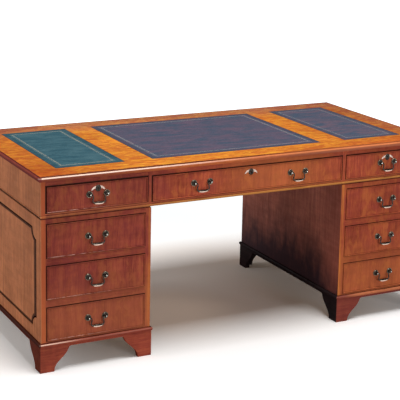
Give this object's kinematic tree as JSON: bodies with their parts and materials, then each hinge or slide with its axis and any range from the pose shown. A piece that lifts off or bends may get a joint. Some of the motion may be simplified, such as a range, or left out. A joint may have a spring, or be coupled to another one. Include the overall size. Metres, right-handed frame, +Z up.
{
  "type": "pedestal_desk",
  "caption": "Veneered pedestal desk with inset leather writing panels, frieze drawers over two drawer pedestals and swan-neck brass handles",
  "frame": {"origin": "on the floor, under the middle of the whole desk with its handles", "axes": "+Z up, the drawers face -Y, +X to the right of someone facing the drawers"},
  "size_m": [1.83, 0.8826, 0.78],
  "materials": {
    "top_veneer": "polished orange-brown veneer with a straight grain",
    "front_veneer": "polished red-brown veneer",
    "side_veneer": "polished brown veneer",
    "drawer_lining": "plain waxed hardwood",
    "teal_leather": "fine-grained teal hide with a gilt tooled line",
    "purple_leather": "fine-grained navy-purple hide with a gilt tooled line",
    "antique_brass": "darkened cast brass",
    "lock_brass": "plain sawn brass"
  },
  "bodies": {
    "desk": {"top_board": "top_veneer", "leather_left": "teal_leather", "leather_centre": "purple_leather", "leather_right": "purple_leather", "frieze_front_frame": "front_veneer", "frieze_back": "side_veneer", "frieze_side_left": "side_veneer", "frieze_side_right": "side_veneer", "frieze_drawer_board": "drawer_lining", "pedestal_left_front_frame": "front_veneer", "pedestal_left_back": "side_veneer", "pedestal_left_outer_side": "side_veneer", "pedestal_left_inner_side": "side_veneer", "pedestal_left_top": "side_veneer", "pedestal_left_bottom": "drawer_lining", "pedestal_left_plinth": "front_veneer", "pedestal_right_front_frame": "front_veneer", "pedestal_right_back": "side_veneer", "pedestal_right_outer_side": "side_veneer", "pedestal_right_inner_side": "side_veneer", "pedestal_right_top": "side_veneer", "pedestal_right_bottom": "drawer_lining", "pedestal_right_plinth": "front_veneer"},
    "frieze_left_drawer": {"frieze_left_drawer_front": "front_veneer", "frieze_left_drawer_box": "drawer_lining", "frieze_left_escutcheon": "antique_brass", "frieze_left_lock_case": "lock_brass"},
    "frieze_left_bail_body": {"frieze_left_bail": "antique_brass"},
    "frieze_left_bolt": {"frieze_left_lock_bolt": "lock_brass"},
    "frieze_centre_drawer": {"frieze_centre_drawer_front": "front_veneer", "frieze_centre_drawer_box": "drawer_lining", "frieze_centre_escutcheon": "antique_brass", "frieze_centre_lock_case": "lock_brass"},
    "frieze_centre_bail_1_body": {"frieze_centre_bail_1": "antique_brass"},
    "frieze_centre_bail_2_body": {"frieze_centre_bail_2": "antique_brass"},
    "frieze_centre_bolt": {"frieze_centre_lock_bolt": "lock_brass"},
    "frieze_right_drawer": {"frieze_right_drawer_front": "front_veneer", "frieze_right_drawer_box": "drawer_lining", "frieze_right_escutcheon": "antique_brass", "frieze_right_lock_case": "lock_brass"},
    "frieze_right_bail_body": {"frieze_right_bail": "antique_brass"},
    "frieze_right_bolt": {"frieze_right_lock_bolt": "lock_brass"},
    "left_lower_drawer": {"left_lower_drawer_front": "front_veneer", "left_lower_drawer_box": "drawer_lining"},
    "left_lower_bail_body": {"left_lower_bail": "antique_brass"},
    "left_middle_drawer": {"left_middle_drawer_front": "front_veneer", "left_middle_drawer_box": "drawer_lining"},
    "left_middle_bail_body": {"left_middle_bail": "antique_brass"},
    "left_upper_drawer": {"left_upper_drawer_front": "front_veneer", "left_upper_drawer_box": "drawer_lining"},
    "left_upper_bail_body": {"left_upper_bail": "antique_brass"},
    "right_lower_drawer": {"right_lower_drawer_front": "front_veneer", "right_lower_drawer_box": "drawer_lining"},
    "right_lower_bail_body": {"right_lower_bail": "antique_brass"},
    "right_middle_drawer": {"right_middle_drawer_front": "front_veneer", "right_middle_drawer_box": "drawer_lining"},
    "right_middle_bail_body": {"right_middle_bail": "antique_brass"},
    "right_upper_drawer": {"right_upper_drawer_front": "front_veneer", "right_upper_drawer_box": "drawer_lining"},
    "right_upper_bail_body": {"right_upper_bail": "antique_brass"}
  },
  "joints": [
    {"name": "frieze_left_drawer_slide", "type": "slide", "parent": "desk", "child": "frieze_left_drawer", "axis": [0, -1, 0], "range_m": [0, 0.38]},
    {"name": "frieze_left_bail_hinge", "type": "hinge", "parent": "frieze_left_drawer", "child": "frieze_left_bail_body", "pos_m": [-0.671, -0.4361, 0.69125], "axis": [-1, 0, 0], "range_deg": [-11, 187]},
    {"name": "frieze_left_bolt_slide", "type": "slide", "parent": "frieze_left_drawer", "child": "frieze_left_bolt", "axis": [0, 0, 1], "range_m": [0, 0.008]},
    {"name": "frieze_centre_drawer_slide", "type": "slide", "parent": "desk", "child": "frieze_centre_drawer", "axis": [0, -1, 0], "range_m": [0, 0.38]},
    {"name": "frieze_centre_bail_1_hinge", "type": "hinge", "parent": "frieze_centre_drawer", "child": "frieze_centre_bail_1_body", "pos_m": [-0.223, -0.4361, 0.69125], "axis": [-1, 0, 0], "range_deg": [-11, 190]},
    {"name": "frieze_centre_bail_2_hinge", "type": "hinge", "parent": "frieze_centre_drawer", "child": "frieze_centre_bail_2_body", "pos_m": [0.223, -0.4361, 0.69125], "axis": [-1, 0, 0], "range_deg": [-11, 190]},
    {"name": "frieze_centre_bolt_slide", "type": "slide", "parent": "frieze_centre_drawer", "child": "frieze_centre_bolt", "axis": [0, 0, 1], "range_m": [0, 0.008]},
    {"name": "frieze_right_drawer_slide", "type": "slide", "parent": "desk", "child": "frieze_right_drawer", "axis": [0, -1, 0], "range_m": [0, 0.38]},
    {"name": "frieze_right_bail_hinge", "type": "hinge", "parent": "frieze_right_drawer", "child": "frieze_right_bail_body", "pos_m": [0.671, -0.4361, 0.69125], "axis": [-1, 0, 0], "range_deg": [-11, 187]},
    {"name": "frieze_right_bolt_slide", "type": "slide", "parent": "frieze_right_drawer", "child": "frieze_right_bolt", "axis": [0, 0, 1], "range_m": [0, 0.008]},
    {"name": "left_lower_drawer_slide", "type": "slide", "parent": "desk", "child": "left_lower_drawer", "axis": [0, -1, 0], "range_m": [0, 0.38]},
    {"name": "left_lower_bail_hinge", "type": "hinge", "parent": "left_lower_drawer", "child": "left_lower_bail_body", "pos_m": [-0.675, -0.4361, 0.19675], "axis": [-1, 0, 0], "range_deg": [-11, 190]},
    {"name": "left_middle_drawer_slide", "type": "slide", "parent": "desk", "child": "left_middle_drawer", "axis": [0, -1, 0], "range_m": [0, 0.38]},
    {"name": "left_middle_bail_hinge", "type": "hinge", "parent": "left_middle_drawer", "child": "left_middle_bail_body", "pos_m": [-0.675, -0.4361, 0.36225], "axis": [-1, 0, 0], "range_deg": [-11, 190]},
    {"name": "left_upper_drawer_slide", "type": "slide", "parent": "desk", "child": "left_upper_drawer", "axis": [0, -1, 0], "range_m": [0, 0.38]},
    {"name": "left_upper_bail_hinge", "type": "hinge", "parent": "left_upper_drawer", "child": "left_upper_bail_body", "pos_m": [-0.675, -0.4361, 0.52775], "axis": [-1, 0, 0], "range_deg": [-11, 190]},
    {"name": "right_lower_drawer_slide", "type": "slide", "parent": "desk", "child": "right_lower_drawer", "axis": [0, -1, 0], "range_m": [0, 0.38]},
    {"name": "right_lower_bail_hinge", "type": "hinge", "parent": "right_lower_drawer", "child": "right_lower_bail_body", "pos_m": [0.675, -0.4361, 0.19675], "axis": [-1, 0, 0], "range_deg": [-11, 190]},
    {"name": "right_middle_drawer_slide", "type": "slide", "parent": "desk", "child": "right_middle_drawer", "axis": [0, -1, 0], "range_m": [0, 0.38]},
    {"name": "right_middle_bail_hinge", "type": "hinge", "parent": "right_middle_drawer", "child": "right_middle_bail_body", "pos_m": [0.675, -0.4361, 0.36225], "axis": [-1, 0, 0], "range_deg": [-11, 190]},
    {"name": "right_upper_drawer_slide", "type": "slide", "parent": "desk", "child": "right_upper_drawer", "axis": [0, -1, 0], "range_m": [0, 0.38]},
    {"name": "right_upper_bail_hinge", "type": "hinge", "parent": "right_upper_drawer", "child": "right_upper_bail_body", "pos_m": [0.675, -0.4361, 0.52775], "axis": [-1, 0, 0], "range_deg": [-11, 190]}
  ]
}
